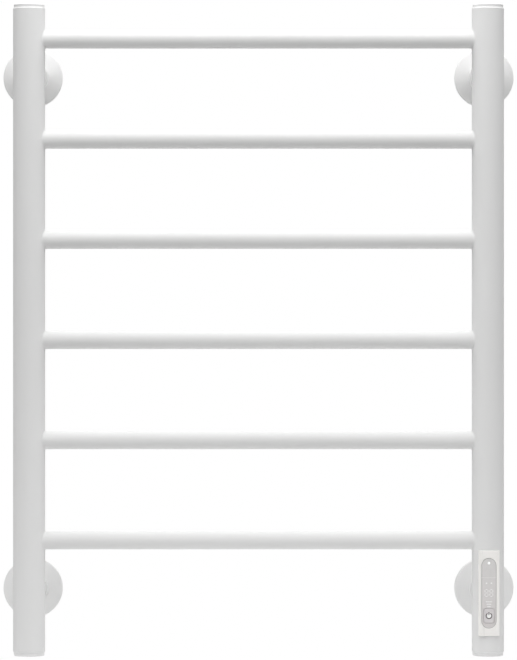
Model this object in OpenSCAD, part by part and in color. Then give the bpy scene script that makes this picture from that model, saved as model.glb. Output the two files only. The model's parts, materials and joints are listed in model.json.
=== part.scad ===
// Wall-mounted electric towel warmer: a welded ladder of round tubes with a heating cable inside, held by
// four telescopic wall brackets, with a push-button control let into the right post.
// Millimetres. +X is right, +Z is up, the wall is the plane y = 0 and the rack stands at negative y.
// The origin is the centre of the wall screws, in the plane of the wall.

/* [Ladder] */
// Overall height, with the end caps
rack_h = 650; // [640:5:720]
// Distance between the centre lines of the posts
post_spacing = 458; // [380:1:600]
// Outer diameter of the posts
post_d = 32; // [32:0.5:34]
// Wall thickness of the posts
post_wall = 1.5; // [1.2:0.1:1.6]
// Outer diameter of the rungs
rung_d = 18; // [16:0.5:20]
// Wall thickness of the rungs
rung_wall = 1.2; // [1:0.1:1.5]
// Height of the lowest rung above the bottom
first_rung_h = 115; // [112:1:126]
// Distance from one rung to the next
rung_pitch = 100; // [92:1:102]

/* [Wall brackets] */
// Height of the lower brackets above the bottom
lower_bracket_h = 63; // [60:1:66]
// Distance from the lower to the upper brackets
bracket_pitch = 518; // [480:1:530]
// Distance from the wall to the centre lines of the posts
wall_gap = 70; // [68:1:80]
// Outer diameter of the legs
leg_d = 25; // [24.5:0.1:25.5]
// Outer diameter of the rosettes
rosette_d = 60; // [58:1:64]
// Distance between the two screw holes of a wall base
base_screw_pitch = 34; // [32:1:36]
// Diameter of the screw holes
screw_hole_d = 5.5; // [4.5:0.5:6]

/* [Control] */
// Height of the control's centre above the bottom
control_h = 63.3; // [63:0.1:65]
// Width of the bezel
bezel_w = 20.9; // [20:0.1:22]
// Height of the bezel
bezel_h = 84.8; // [84:0.1:88]
// Width of the window in the bezel
window_w = 15; // [15:0.1:15.4]
// Height of the window in the bezel
window_h = 70; // [69:0.5:71]
// Width of the power key
key_w = 10.4; // [9:0.2:10.6]
// Height of the power key
key_h = 14.4; // [12:0.2:15]

/* [Hidden] */
$fn = 96;

// Colours
powder_white = "#f1f1ef";
cap_white = "#f4f4f2";
bezel_white = "#e9e5df";
lens_grey = "#b7b6b4";
zinc = "#b9bcc0";
rubber_black = "#2a2a2a";

// Ladder
rung_total = 6;
post_x = post_spacing / 2;
post_r = post_d / 2;
post_bore_r = post_r - post_wall;
bottom_z = -bracket_pitch / 2 - lower_bracket_h;
cap_h = 5;
tube_h = rack_h - 2 * cap_h;
rung_r = rung_d / 2;
rung_bore_r = rung_r - rung_wall;
cable_hole_r = 6;

// Wall brackets: distances w are measured from the wall
flange_r = 24;
flange_t = 3;
spindle_w = 42;
leg_r = leg_d / 2;
leg_bore_r = leg_r - 3;
leg_end_w = 10;
spindle_r = leg_bore_r - 0.05;
spindle_bore_r = 5;
spindle_flat = 7;
flat_start_w = 16;
gland_lip_r = 6.4;
gland_lip_t = 1;
gland_w = 6;
gland_bore_r = 3.6;
set_screw_w = 32;
set_screw_r = 2.5;

// Rosettes
rosette_r = rosette_d / 2;
rosette_wall = 1.2;
rosette_rim_w = 5;
neck_r = leg_r + 3.1;
neck_bore_r = leg_r + 0.3;
neck_end_w = 19;
dome_top_w = 8.5;
// The dome is a part of a sphere through the top of the rim and the foot of the neck
dome_centre_w = (dome_top_w ^ 2 - rosette_rim_w ^ 2 + neck_r ^ 2 - rosette_r ^ 2)
    / (2 * (dome_top_w - rosette_rim_w));
dome_r = sqrt(rosette_r ^ 2 + (rosette_rim_w - dome_centre_w) ^ 2);
ring_section_r = 0.9;
ring_centre_r = leg_r + 0.05 + ring_section_r;
ring_w = 17.2;
groove_half_w = 1;

// Heating cable
cable_r = 1.75;
bend_r = 14;
splice_r = 3;
splice_start_h = first_rung_h + 30;
splice_end_h = splice_start_h + 30;
seal_r = 2.8;
seal_h = 20;
cable_tail = 11;
lead_r = 1.25;
lead_y = 10;
lead_bend_r = lead_y / 2;
lead_rise = 3;
cutout_r = 2.6;
cutout_start_h = first_rung_h + 15;
cutout_end_h = cutout_start_h + 16;

// Control: y is measured from the centre line of the right post, h from the control's centre
bezel_front_y = -post_r - 1.6;
lens_front_y = bezel_front_y + 0.4;
lens_back_y = lens_front_y + 2;
lens_gap = 0.1;
slot_w = 15;
slot_h = 78;
slot_back_y = -8;
gasket_r = post_r + 0.4;
rim_r = gasket_r + 0.4;
rim_gap = 0.05;
rim_w = bezel_w - 1.5;
rim_h = bezel_h - 1.6;
skirt_gap = 0.1;
tray_w = 14.6;
tray_h = 75.6;
tray_wall = 1;
tray_back_y = 4;
lug_w = 6;
lug_t = 0.8;
lug_end_y = -12.5;
hook_front_y = -post_bore_r + 0.5;
board_w = 12.2;
board_h = 70;
board_front_y = -9;
board_t = 1.2;
board_back_y = board_front_y + board_t;
boss_r = 2;
board_screw_r = 0.8;
board_screw_head_r = 1.7;
board_screw_end_y = 0;
board_screw_hs = [-32, 21.5];
led_h = 30;
led_r = 1.5;
guide_r = 1.2;
guide_collar_r = 1.8;
display_h = 4.5;
display_size = [9.2, 18];
display_front_y = lens_back_y + 0.6;
key_centre_h = -22.3;
key_gap = 0.3;
key_corner_r = 2.2;
key_front_y = bezel_front_y + 0.1;
key_flange = 0.7;
key_back_y = lens_back_y + 1.2;
switch_size = 6.2;
switch_front_y = board_front_y - 3.5;
switch_bore_depth = 1.2;
plunger_r = 1.6;
plunger_end_y = switch_front_y + 0.5;
lead_entry_h = 30.5;
sensor_entry_h = 25.5;

// Terminals and earth
terminal_size = [12, 8, 16];
terminal_h = -24.5;
terminal_pin_x = 3;
terminal_pin_r = 0.6;
terminal_pole_x = 4;
earth_h = 19.8;
earth_stud_r = 2;
earth_stud_end_y = 6;
earth_ring_r = 4;
earth_ring_y = 12.2;
earth_ring_t = 0.8;
earth_nut_t = 2.8;
earth_lead_y = 11;
sensor_x = 4.5;
sensor_r = 1.8;
sensor_start_h = first_rung_h - 7;
sensor_len = 12;
sensor_lead_r = 0.6;
sensor_lead_bend_r = 3;
sensor_y = floor(10 * sqrt((post_bore_r - sensor_r) ^ 2 - sensor_x ^ 2)) / 10;

function rung_h(i) = first_rung_h + (i - 1) * rung_pitch;

// Round rods along each axis, and a box between two corners
module rod_x(x0, x1, r) translate([x0, 0, 0]) rotate([0, 90, 0]) cylinder(r = r, h = x1 - x0);
module rod_y(y0, y1, r) translate([0, y1, 0]) rotate([90, 0, 0]) cylinder(r = r, h = y1 - y0);
module rod_z(z0, z1, r) translate([0, 0, z0]) cylinder(r = r, h = z1 - z0);
module box(low, high) translate(low) cube(high - low);

// A flat outline in X and Z, made solid from y0 to y1
module plate_y(y0, y1) translate([0, y1, 0]) rotate([90, 0, 0]) linear_extrude(y1 - y0) children();

// An outline with round ends, and one with round corners
module stadium(w, h) {
    square([w, h - w], center = true);
    for (s = [-1, 1]) translate([0, s * (h - w) / 2]) circle(d = w);
}
module round_corners(w, h, r) {
    square([w - 2 * r, h], center = true);
    square([w, h - 2 * r], center = true);
    for (sx = [-1, 1], sy = [-1, 1]) translate([sx * (w / 2 - r), sy * (h / 2 - r)]) circle(r = r);
}

// Places: a post's axis at the bottom of the rack, the control's centre, and a wall bracket's centre
module at_post(side) translate([side * post_x, -wall_gap, bottom_z]) children();
module at_control() at_post(1) translate([0, 0, control_h]) children();
module at_bracket(side, level) translate([side * post_x, 0, level * bracket_pitch / 2]) children();

// One wall base: a flange with two screw holes and a hollow spindle with a flat for the set screw
module wall_base(side, level) color(zinc) at_bracket(side, level) difference() {
    union() {
        rod_y(-flange_t, 0, flange_r);
        rod_y(-spindle_w, 0, spindle_r);
    }
    rod_y(-spindle_w - 1, 1, spindle_bore_r);
    rod_y(-gland_lip_t, 1, gland_lip_r);
    for (s = [-1, 1]) translate([0, 0, s * base_screw_pitch / 2]) rod_y(-flange_t - 1, 1, screw_hole_d / 2);
    box([-spindle_r, -spindle_w - 1, -spindle_r - 1], [spindle_r, -flat_start_w, -spindle_flat]);
}

// The rubber gland that the supply cable comes in through
module supply_gland() color(rubber_black) at_bracket(1, -1) difference() {
    union() {
        rod_y(-gland_lip_t, 0, gland_lip_r);
        rod_y(-gland_w, 0, spindle_bore_r);
    }
    rod_y(-gland_w - 1, 1, gland_bore_r);
}

// One rosette: a thin dome on a straight rim, with a neck round the leg and a groove in the neck
module dome(extra_r) intersection() {
    translate([0, -dome_centre_w, 0]) sphere(r = dome_r + extra_r);
    rod_y(-dome_top_w - 1, -extra_r, rosette_r + extra_r);
}
module rosette(side, level) color(powder_white) at_bracket(side, level) difference() {
    union() {
        dome(0);
        rod_y(-neck_end_w, -rosette_rim_w, neck_r);
    }
    difference() {
        dome(-rosette_wall);
        rod_y(-neck_end_w, -dome_top_w + rosette_wall + 0.5, neck_r);
    }
    rod_y(-1, 1, rosette_r - rosette_wall);
    rod_y(-neck_end_w - 1, 1, neck_bore_r);
    rod_y(-ring_w - groove_half_w, -ring_w + groove_half_w, ring_centre_r + ring_section_r + 0.05);
}

// The rubber ring in a rosette's groove, which grips the leg
module rosette_ring(side, level) color(rubber_black) at_bracket(side, level)
    translate([0, -ring_w, 0]) rotate([90, 0, 0])
        rotate_extrude() translate([ring_centre_r, 0]) circle(r = ring_section_r, $fn = 48);

// One post without its holes, and the holes that let the heating cable through at each rung
module post_tube() difference() {
    rod_z(cap_h, cap_h + tube_h, post_r);
    rod_z(cap_h - 1, cap_h + tube_h + 1, post_bore_r);
}
module cable_holes(side) for (i = [1:rung_total])
    translate([0, 0, rung_h(i)]) rotate([0, 0, side > 0 ? 180 : 0]) rod_x(0, post_r + 1, cable_hole_r);
module left_post() color(powder_white) at_post(-1) difference() {
    post_tube();
    cable_holes(-1);
}
module right_post() color(powder_white) at_post(1) difference() {
    post_tube();
    cable_holes(1);
    translate([0, 0, control_h])
        box([-slot_w / 2, -post_r - 1, -slot_h / 2], [slot_w / 2, slot_back_y, slot_h / 2]);
    translate([0, 0, lower_bracket_h]) rod_y(0, post_r + 1, spindle_bore_r);
}

// One rung: a tube with its ends cut to the round of the posts
module rung(i) color(powder_white) translate([0, -wall_gap, bottom_z + rung_h(i)]) difference() {
    rod_x(-post_x, post_x, rung_r);
    rod_x(-post_x - 1, post_x + 1, rung_bore_r);
    for (s = [-1, 1]) translate([s * post_x, 0, 0]) rod_z(-rung_d, rung_d, post_r);
}

// One end cap: a stepped rim on a hollow plug, drawn with the end of the tube at zero
module end_cap_shape() rotate_extrude() polygon([
    [post_bore_r - 2.1, -10], [post_bore_r - 0.1, -10], [post_bore_r - 0.1, 0], [post_r, 0],
    [post_r, 0.4], [post_r - 0.8, 2], [post_r - 0.8, cap_h - 0.6], [post_r - 1.4, cap_h],
    [0, cap_h], [0, 2], [post_bore_r - 2.1, 2]
]);
module end_cap(side, level) color(cap_white) at_post(side)
    translate([0, 0, level > 0 ? rack_h - cap_h : cap_h]) mirror([0, 0, level > 0 ? 0 : 1]) end_cap_shape();

// One leg: a thick tube from the post to the wall base, tapped underneath for the set screw
module leg(side, level) color(powder_white) difference() {
    at_bracket(side, level) difference() {
        rod_y(-wall_gap, -leg_end_w, leg_r);
        rod_y(-wall_gap - 1, 0, leg_bore_r);
        translate([0, -set_screw_w, 0]) rod_z(-leg_r - 1, 0, set_screw_r);
    }
    at_post(side) rod_z(0, rack_h, post_r);
}

// The four set screws, each a little below the leg's surface and just clear of the spindle's flat
module leg_set_screws() color(zinc) for (side = [-1, 1], level = [-1, 1])
    at_bracket(side, level) translate([0, -set_screw_w, 0]) difference() {
        rod_z(-leg_r + 0.3, -spindle_flat - 0.35, set_screw_r - 0.05);
        translate([0, 0, -leg_r]) cylinder(r = 1.45, h = 2.3, $fn = 6);
    }

// A quarter turn of the cable in X and Z, from angle a round a centre
module cable_bend(x, h, a) translate([x, 0, h]) rotate([90, 0, 0]) rotate([0, 0, a])
    rotate_extrude(angle = 90) translate([bend_r, 0]) circle(r = cable_r);

// The heating cable goes through every rung in turn, linked up the left post and the right post
module heating_cable() color("#d9c9b0") translate([0, -wall_gap, bottom_z]) {
    end_x = post_x - bend_r;
    for (i = [1:rung_total]) translate([0, 0, rung_h(i)]) rod_x(-end_x, end_x, cable_r);
    for (i = [1:rung_total - 1]) {
        side = i % 2 == 1 ? -1 : 1;
        cable_bend(side * end_x, rung_h(i) + bend_r, side > 0 ? 270 : 180);
        cable_bend(side * end_x, rung_h(i + 1) - bend_r, side > 0 ? 0 : 90);
        translate([side * post_x, 0, 0]) rod_z(rung_h(i) + bend_r, rung_h(i + 1) - bend_r, cable_r);
    }
    cable_bend(end_x, rung_h(1) + bend_r, 270);
    translate([post_x, 0, 0]) rod_z(rung_h(1) + bend_r, splice_start_h, cable_r);
    cable_bend(end_x, rung_h(rung_total) - bend_r, 0);
    translate([post_x, 0, rung_h(rung_total) - bend_r]) rod_z(-cable_tail, 0, cable_r);
}

// The sealed far end of the heating cable, in the right post below the top rung
module cable_end_seal() color(rubber_black) at_post(1)
    translate([0, 0, rung_h(rung_total) - bend_r - cable_tail]) rod_z(-seal_h, 0, seal_r);

// The splice from the heating cable to the cold lead
module cold_lead_splice() color(rubber_black) at_post(1) rod_z(splice_start_h, splice_end_h, splice_r);

// The cold lead: up from the splice, over, down past the thermal cut-out and forward to the board
module lead_bend(y, h, a, turn) translate([0, y, h]) rotate([0, 90, 0]) rotate([0, 0, a])
    rotate_extrude(angle = turn) translate([lead_bend_r, 0]) circle(r = lead_r);
module cold_lead() color("#e6e2da") at_post(1) {
    entry_h = control_h + lead_entry_h;
    rod_z(splice_end_h, splice_end_h + lead_rise, lead_r);
    lead_bend(lead_bend_r, splice_end_h + lead_rise, 90, 180);
    translate([0, lead_y, 0]) rod_z(cutout_end_h, splice_end_h + lead_rise, lead_r);
    translate([0, lead_y, 0]) rod_z(entry_h + lead_bend_r, cutout_start_h, lead_r);
    lead_bend(lead_y - lead_bend_r, entry_h + lead_bend_r, 0, 90);
    translate([0, 0, entry_h]) rod_y(board_back_y, lead_y - lead_bend_r, lead_r);
}

// The thermal cut-out in the cold lead
module thermal_cutout() color("#c9a24a") at_post(1)
    translate([0, lead_y, 0]) rod_z(cutout_start_h, cutout_end_h, cutout_r);

// The temperature sensor against the back wall of the right post, and its lead down to the board
module temperature_sensor() color("#3b3b3b") at_post(1)
    translate([sensor_x, sensor_y, 0]) rod_z(sensor_start_h, sensor_start_h + sensor_len, sensor_r);
module sensor_lead() color("#efe9dc") at_post(1) translate([sensor_x, 0, 0]) {
    entry_h = control_h + sensor_entry_h;
    translate([0, sensor_y, 0]) rod_z(entry_h + sensor_lead_bend_r, sensor_start_h, sensor_lead_r);
    translate([0, sensor_y - sensor_lead_bend_r, entry_h + sensor_lead_bend_r]) rotate([0, 90, 0])
        rotate_extrude(angle = 90) translate([sensor_lead_bend_r, 0]) circle(r = sensor_lead_r);
    translate([0, 0, entry_h]) rod_y(board_back_y, sensor_y - sensor_lead_bend_r, sensor_lead_r);
}

// Earth: a stud on the back wall of the right post, a ring terminal, its nut and its lead
module earth_stud() color(zinc) at_post(1) intersection() {
    translate([0, 0, earth_h]) rod_y(earth_stud_end_y, post_r, earth_stud_r);
    rod_z(0, 2 * earth_h, post_bore_r);
}
module earth_ring() color("#c98f5a") at_post(1) translate([0, 0, earth_h]) difference() {
    union() {
        rod_y(earth_ring_y, earth_ring_y + earth_ring_t, earth_ring_r);
        box([-1.5, earth_ring_y, 0], [1.5, earth_ring_y + earth_ring_t, 7.5]);
        translate([0, earth_lead_y + 0.2, 0]) rod_z(4.8, 7.5, 1.3);
    }
    rod_y(0, post_r, earth_stud_r);
}
module earth_nut() color(zinc) at_post(1) translate([0, earth_ring_y, earth_h]) difference() {
    rotate([90, 0, 0]) cylinder(r = 4, h = earth_nut_t, $fn = 6);
    rod_y(-earth_nut_t - 1, 1, earth_stud_r);
}
module earth_lead() color("#9aa83c") at_post(1) translate([0, earth_lead_y, 0])
    rod_z(earth_h + 7.5, control_h + terminal_h - terminal_size[2] / 2, 0.8);

// The supply terminal block on the back of the housing, its three screws and its pins to the board
module terminal_pole(x) translate([x, tray_back_y, terminal_h]) children();
module terminal_block() color("#d8d4c8") at_control() difference() {
    translate([-terminal_size[0] / 2, tray_back_y, terminal_h - terminal_size[2] / 2]) cube(terminal_size);
    for (i = [-1:1]) terminal_pole(i * terminal_pole_x) {
        translate([0, 4, 1]) rod_z(0, terminal_size[2], 1.3);
        translate([0, 0, 3]) rod_y(5, terminal_size[1] + 1, 1.5);
    }
}
module terminal_screws() color(zinc) at_control() for (i = [-1:1]) terminal_pole(i * terminal_pole_x)
    translate([0, 0, 3]) difference() {
        rod_y(5.4, terminal_size[1] - 0.5, 1.4);
        box([-1.5, terminal_size[1] - 1.2, -0.3], [1.5, terminal_size[1], 0.3]);
    }
module terminal_pins() color("#c98f5a") at_control() for (s = [-1, 1])
    translate([s * terminal_pin_x, 0, terminal_h]) rod_y(board_back_y, tray_back_y, terminal_pin_r);

// The window outline, shared by the lens, the rim of the housing and the bezel
module window_cut(y0, y1, gap) plate_y(y0, y1) stadium(window_w - 2 * gap, window_h - 2 * gap);

// The control housing: a deep tray in the slot, with a thin rim that follows the round of the post and two
// bosses for the board's screws
module control_housing() color("#dcdcd8") at_control() difference() {
    union() {
        difference() {
            union() {
                intersection() {
                    box([-tray_w / 2, -post_d, -tray_h / 2], [tray_w / 2, tray_back_y, tray_h / 2]);
                    rod_z(-tray_h, tray_h, rim_r);
                }
                intersection() {
                    box([-rim_w / 2, -post_d, -rim_h / 2], [rim_w / 2, 0, rim_h / 2]);
                    difference() {
                        rod_z(-rim_h, rim_h, rim_r);
                        rod_z(-rim_h - 1, rim_h + 1, gasket_r);
                    }
                }
            }
            box([-tray_w / 2 + tray_wall, -post_d, -tray_h / 2 + tray_wall],
                [tray_w / 2 - tray_wall, tray_back_y - tray_wall, tray_h / 2 - tray_wall]);
        }
        for (h = board_screw_hs) translate([0, 0, h]) rod_y(board_back_y, tray_back_y - tray_wall, boss_r);
    }
    for (h = board_screw_hs) translate([0, 0, h]) rod_y(-post_d, board_screw_end_y, board_screw_r);
    window_cut(-post_d, lens_back_y, 0);
    for (m = [0, 1]) mirror([0, 0, m]) translate([0, 0, slot_h / 2 - 0.2]) bezel_lug_space();
    for (s = [-1, 1]) translate([s * terminal_pin_x, 0, terminal_h]) rod_y(0, tray_back_y + 1, terminal_pin_r);
    translate([0, 0, lead_entry_h]) rod_y(0, tray_back_y + 1, lead_r);
    translate([sensor_x, 0, sensor_entry_h]) rod_y(0, tray_back_y + 1, sensor_lead_r);
}
module bezel_lug_space() box([-lug_w / 2 - 0.2, -post_d, -lug_t - 0.1], [lug_w / 2 + 0.2, 0, 0.6]);

// The thin seal between the post and the rim of the housing
module control_gasket() color(rubber_black) at_control() difference() {
    intersection() {
        box([-rim_w / 2, -post_d, -rim_h / 2], [rim_w / 2, 0, rim_h / 2]);
        difference() {
            rod_z(-rim_h, rim_h, gasket_r);
            rod_z(-rim_h - 1, rim_h + 1, post_r);
        }
    }
    box([-slot_w / 2, -post_d, -slot_h / 2], [slot_w / 2, 0, slot_h / 2]);
}

// The bezel: a flat frame whose skirt follows the post, with a snap lug above and below the housing
module bezel_lug() {
    box([-lug_w / 2, -rim_r - 0.3, -lug_t], [lug_w / 2, lug_end_y, 0]);
    box([-lug_w / 2, hook_front_y, -0.1], [lug_w / 2, lug_end_y, 0.8]);
}
module control_bezel() color(bezel_white) at_control() {
    difference() {
        box([-bezel_w / 2, bezel_front_y, -bezel_h / 2], [bezel_w / 2, lug_end_y, bezel_h / 2]);
        rod_z(-bezel_h, bezel_h, post_r + skirt_gap);
        intersection() {
            box([-rim_w / 2 - 0.1, -post_d, -rim_h / 2 - 0.1], [rim_w / 2 + 0.1, 0, rim_h / 2 + 0.1]);
            rod_z(-bezel_h, bezel_h, rim_r + rim_gap);
        }
        window_cut(-post_d, 0, 0);
    }
    for (m = [0, 1]) mirror([0, 0, m]) translate([0, 0, slot_h / 2 - 0.2]) bezel_lug();
}

// The grey lens in the window, open for the power key and the light guide
module control_lens() color(lens_grey) at_control() difference() {
    window_cut(lens_front_y, lens_back_y, lens_gap);
    translate([0, 0, key_centre_h]) plate_y(-post_d, 0)
        round_corners(key_w + 2 * key_gap, key_h + 2 * key_gap, key_corner_r + key_gap);
    translate([0, 0, led_h]) rod_y(-post_d, 0, guide_r + 0.05);
}

// The control board, its two bosses' screws, and what stands on it
module control_board() color("#3f7a4f") at_control() difference() {
    box([-board_w / 2, board_front_y, -board_h / 2], [board_w / 2, board_back_y, board_h / 2]);
    for (h = board_screw_hs) translate([0, 0, h]) rod_y(-post_d, 0, board_screw_r + 0.1);
}
module board_screws() color(zinc) at_control() for (h = board_screw_hs) translate([0, 0, h]) difference() {
    union() {
        rod_y(board_front_y - 1.2, board_front_y, board_screw_head_r);
        rod_y(board_front_y, board_screw_end_y, board_screw_r);
    }
    box([-2, board_front_y - 2, -0.25], [2, board_front_y - 0.6, 0.25]);
}
module display() color("#3a3d40") at_control() translate([0, 0, display_h])
    box([-display_size[0] / 2, display_front_y, -display_size[1] / 2],
        [display_size[0] / 2, board_front_y, display_size[1] / 2]);
module indicator_led() color("#f4f4f0") at_control() translate([0, 0, led_h]) {
    rod_y(board_front_y - 3, board_front_y, led_r);
    translate([0, board_front_y - 3, 0]) sphere(r = led_r);
}
module light_guide() color("#fbfbfb") at_control() translate([0, 0, led_h]) {
    rod_y(lens_front_y, lens_back_y + 1, guide_r);
    rod_y(lens_back_y, lens_back_y + 1, guide_collar_r);
}
module push_switch() color("#2f3033") at_control() translate([0, 0, key_centre_h]) difference() {
    box([-switch_size / 2, switch_front_y, -switch_size / 2], [switch_size / 2, board_front_y, switch_size / 2]);
    rod_y(switch_front_y - 1, switch_front_y + switch_bore_depth, plunger_r + 0.3);
}
module relay() color("#2e4f86") at_control() box([-5, board_back_y, -0.5], [5, board_back_y + 8.8, 15.5]);
module capacitor() color("#23262b") at_control() translate([0, 0, -8]) rod_y(board_back_y, board_back_y + 7.8, 4);

// The power key, which travels into the lens, and the plunger that it pushes
module power_key() color("#c4bfbf") at_control() translate([0, 0, key_centre_h]) {
    plate_y(key_front_y, key_back_y) round_corners(key_w, key_h, key_corner_r);
    plate_y(lens_back_y + 0.2, key_back_y)
        round_corners(key_w + 2 * key_flange, key_h + 2 * key_flange, key_corner_r);
}
module switch_plunger() color("#e8e6e0") at_control() translate([0, 0, key_centre_h])
    rod_y(key_back_y, plunger_end_y, plunger_r);

wall_base(-1, 1);  // wall_base_top_left
wall_base(1, 1);  // wall_base_top_right
wall_base(-1, -1);  // wall_base_bottom_left
wall_base(1, -1);  // wall_base_bottom_right
supply_gland();
rosette(-1, 1);  // rosette_top_left
rosette(1, 1);  // rosette_top_right
rosette(-1, -1);  // rosette_bottom_left
rosette(1, -1);  // rosette_bottom_right
rosette_ring(-1, 1);  // rosette_ring_top_left
rosette_ring(1, 1);  // rosette_ring_top_right
rosette_ring(-1, -1);  // rosette_ring_bottom_left
rosette_ring(1, -1);  // rosette_ring_bottom_right
left_post();
right_post();
rung(1);  // rung_1
rung(2);  // rung_2
rung(3);  // rung_3
rung(4);  // rung_4
rung(5);  // rung_5
rung(6);  // rung_6
end_cap(-1, 1);  // end_cap_top_left
end_cap(1, 1);  // end_cap_top_right
end_cap(-1, -1);  // end_cap_bottom_left
end_cap(1, -1);  // end_cap_bottom_right
leg(-1, 1);  // leg_top_left
leg(1, 1);  // leg_top_right
leg(-1, -1);  // leg_bottom_left
leg(1, -1);  // leg_bottom_right
leg_set_screws();
heating_cable();
cable_end_seal();
cold_lead_splice();
cold_lead();
thermal_cutout();
temperature_sensor();
sensor_lead();
earth_stud();
earth_ring();
earth_nut();
earth_lead();
terminal_block();
terminal_screws();
terminal_pins();
control_housing();
control_gasket();
control_bezel();
control_lens();
control_board();
board_screws();
display();
indicator_led();
light_guide();
push_switch();
relay();
capacitor();
power_key();
switch_plunger();
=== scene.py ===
"""Finishes the towel warmer rack round its fixed frame and sets it on a pale stage."""

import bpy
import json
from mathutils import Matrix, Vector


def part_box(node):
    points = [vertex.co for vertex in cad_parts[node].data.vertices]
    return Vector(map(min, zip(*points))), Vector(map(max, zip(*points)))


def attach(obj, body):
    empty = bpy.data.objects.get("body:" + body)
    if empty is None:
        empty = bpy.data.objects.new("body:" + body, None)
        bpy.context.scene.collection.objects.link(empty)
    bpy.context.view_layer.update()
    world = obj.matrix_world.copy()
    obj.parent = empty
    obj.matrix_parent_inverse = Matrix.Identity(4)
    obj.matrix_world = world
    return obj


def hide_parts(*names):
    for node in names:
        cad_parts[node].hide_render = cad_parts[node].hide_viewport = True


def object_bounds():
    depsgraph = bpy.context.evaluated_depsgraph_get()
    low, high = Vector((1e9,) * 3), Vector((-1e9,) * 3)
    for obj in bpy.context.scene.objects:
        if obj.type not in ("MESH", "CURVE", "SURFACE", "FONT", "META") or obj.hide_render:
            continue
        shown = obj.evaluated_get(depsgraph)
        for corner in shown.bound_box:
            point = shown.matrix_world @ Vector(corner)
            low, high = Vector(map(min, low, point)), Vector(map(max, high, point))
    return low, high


bl_info = {
    "name": "Towel Warmer Rack",
    "version": (1, 0, 0),
    "blender": (4, 5, 0),
    "location": "View3D > Sidebar > Towel Rack",
    "description": "Coated rungs, caps, rosettes and the push-button control of a towel warmer rack",
    "category": "Object",
}

import json
import math

import bmesh
import bpy
from bpy.props import FloatProperty, FloatVectorProperty, IntProperty, PointerProperty
from mathutils import Matrix

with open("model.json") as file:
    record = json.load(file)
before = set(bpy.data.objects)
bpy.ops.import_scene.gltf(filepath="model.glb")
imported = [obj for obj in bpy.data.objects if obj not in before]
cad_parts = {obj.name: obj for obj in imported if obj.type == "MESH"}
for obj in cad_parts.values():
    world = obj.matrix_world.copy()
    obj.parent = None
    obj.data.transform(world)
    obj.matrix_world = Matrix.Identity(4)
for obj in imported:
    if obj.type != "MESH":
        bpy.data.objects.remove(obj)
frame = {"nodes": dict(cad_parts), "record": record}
CAD_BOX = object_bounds()

MM = 0.001
CORNERS = ("top_left", "top_right", "bottom_left", "bottom_right")
POSTS = ("left_post", "right_post")
RUNGS = ("rung_1", "rung_2", "rung_3", "rung_4", "rung_5", "rung_6")
SMOOTH_ANGLE = math.radians(38)
# Thickness of printed marks, and the rounding of their corners
INK = 0.03 * MM
INK_ROUND = 0.3 * MM
# Points closer than MERGE are one point, and points within CLOSE of a plane lie in it
MERGE = 1e-7
CLOSE = 1e-6


# ---------------------------------------------------------------------------------------------
# Sizes and colours that a user may change
# ---------------------------------------------------------------------------------------------

class RackShape(bpy.types.PropertyGroup):
    """Sizes of the welds and of the rounded edges."""

    weld: FloatProperty(
        name="Weld", description="Radius of the fillet where a tube meets a post",
        default=1.3 * MM, min=0.5 * MM, max=3 * MM, unit="LENGTH")
    cap_round: FloatProperty(
        name="Cap rounding", description="Rounding of the edges of the end caps",
        default=0.18 * MM, min=0.05 * MM, max=0.3 * MM, unit="LENGTH")
    rim_round: FloatProperty(
        name="Rosette rounding", description="Rounding between the rim and the dome of a rosette",
        default=1.6 * MM, min=0.3 * MM, max=2.5 * MM, unit="LENGTH")
    bezel_round: FloatProperty(
        name="Bezel rounding", description="Rounding of the front edges of the bezel",
        default=0.4 * MM, min=0.1 * MM, max=0.7 * MM, unit="LENGTH")
    round_steps: IntProperty(
        name="Round steps", description="Number of faces round a tube, a cap or a rosette",
        default=96, min=32, max=192)


class RackColours(bpy.types.PropertyGroup):
    """Colours of the pieces that show."""

    coat: FloatVectorProperty(
        name="Powder coat", description="Colour of the coated steel",
        subtype="COLOR", size=3, default=(0.78, 0.78, 0.777), min=0, max=1)
    # A lighter copy of the powder coat for the rosettes: painted light, for the extra light that falls on
    # them
    lit_rosette: FloatVectorProperty(
        name="Rosettes", description="Colour of the coated rosettes",
        subtype="COLOR", size=3, default=(0.84, 0.84, 0.837), min=0, max=1)
    cap: FloatVectorProperty(
        name="End caps", description="Colour of the moulded end caps",
        subtype="COLOR", size=3, default=(0.80, 0.80, 0.797), min=0, max=1)
    bezel: FloatVectorProperty(
        name="Bezel", description="Colour of the bezel round the control",
        subtype="COLOR", size=3, default=(0.95, 0.935, 0.91), min=0, max=1)
    lens: FloatVectorProperty(
        name="Lens", description="Colour of the tinted lens",
        subtype="COLOR", size=3, default=(0.73, 0.72, 0.71), min=0, max=1)
    key: FloatVectorProperty(
        name="Power key", description="Colour of the power key",
        subtype="COLOR", size=3, default=(0.72, 0.69, 0.695), min=0, max=1)
    mark: FloatVectorProperty(
        name="Power mark", description="Colour of the ring and bar on the power key",
        subtype="COLOR", size=3, default=(0.045, 0.035, 0.038), min=0, max=1)


class RackStage(bpy.types.PropertyGroup):
    """The camera, the lights and the floor."""

    focal_length: FloatProperty(
        name="Focal length", description="Focal length of the camera, in millimetres",
        default=205, min=50, max=400, subtype="DISTANCE_CAMERA")
    picture_height: FloatProperty(
        name="Picture height", description="Height that the camera takes in at the posts",
        default=0.6589, min=0.3, max=2, unit="LENGTH")
    floor_drop: FloatProperty(
        name="Floor drop", description="Distance from the rack down to the floor",
        default=0.16, min=0.05, max=1, unit="LENGTH")
    top_light: FloatProperty(
        name="Top light", description="Power of the soft light over the rack, in watts",
        default=10, min=0, max=500, subtype="POWER")
    front_light: FloatProperty(
        name="Front light", description="Power of the soft light high in front, in watts",
        default=1.3, min=0, max=500, subtype="POWER")
    sky: FloatProperty(
        name="Sky", description="Strength of the light from all round",
        default=1.0, min=0, max=4)


# ---------------------------------------------------------------------------------------------
# Mesh tools
# ---------------------------------------------------------------------------------------------

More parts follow.
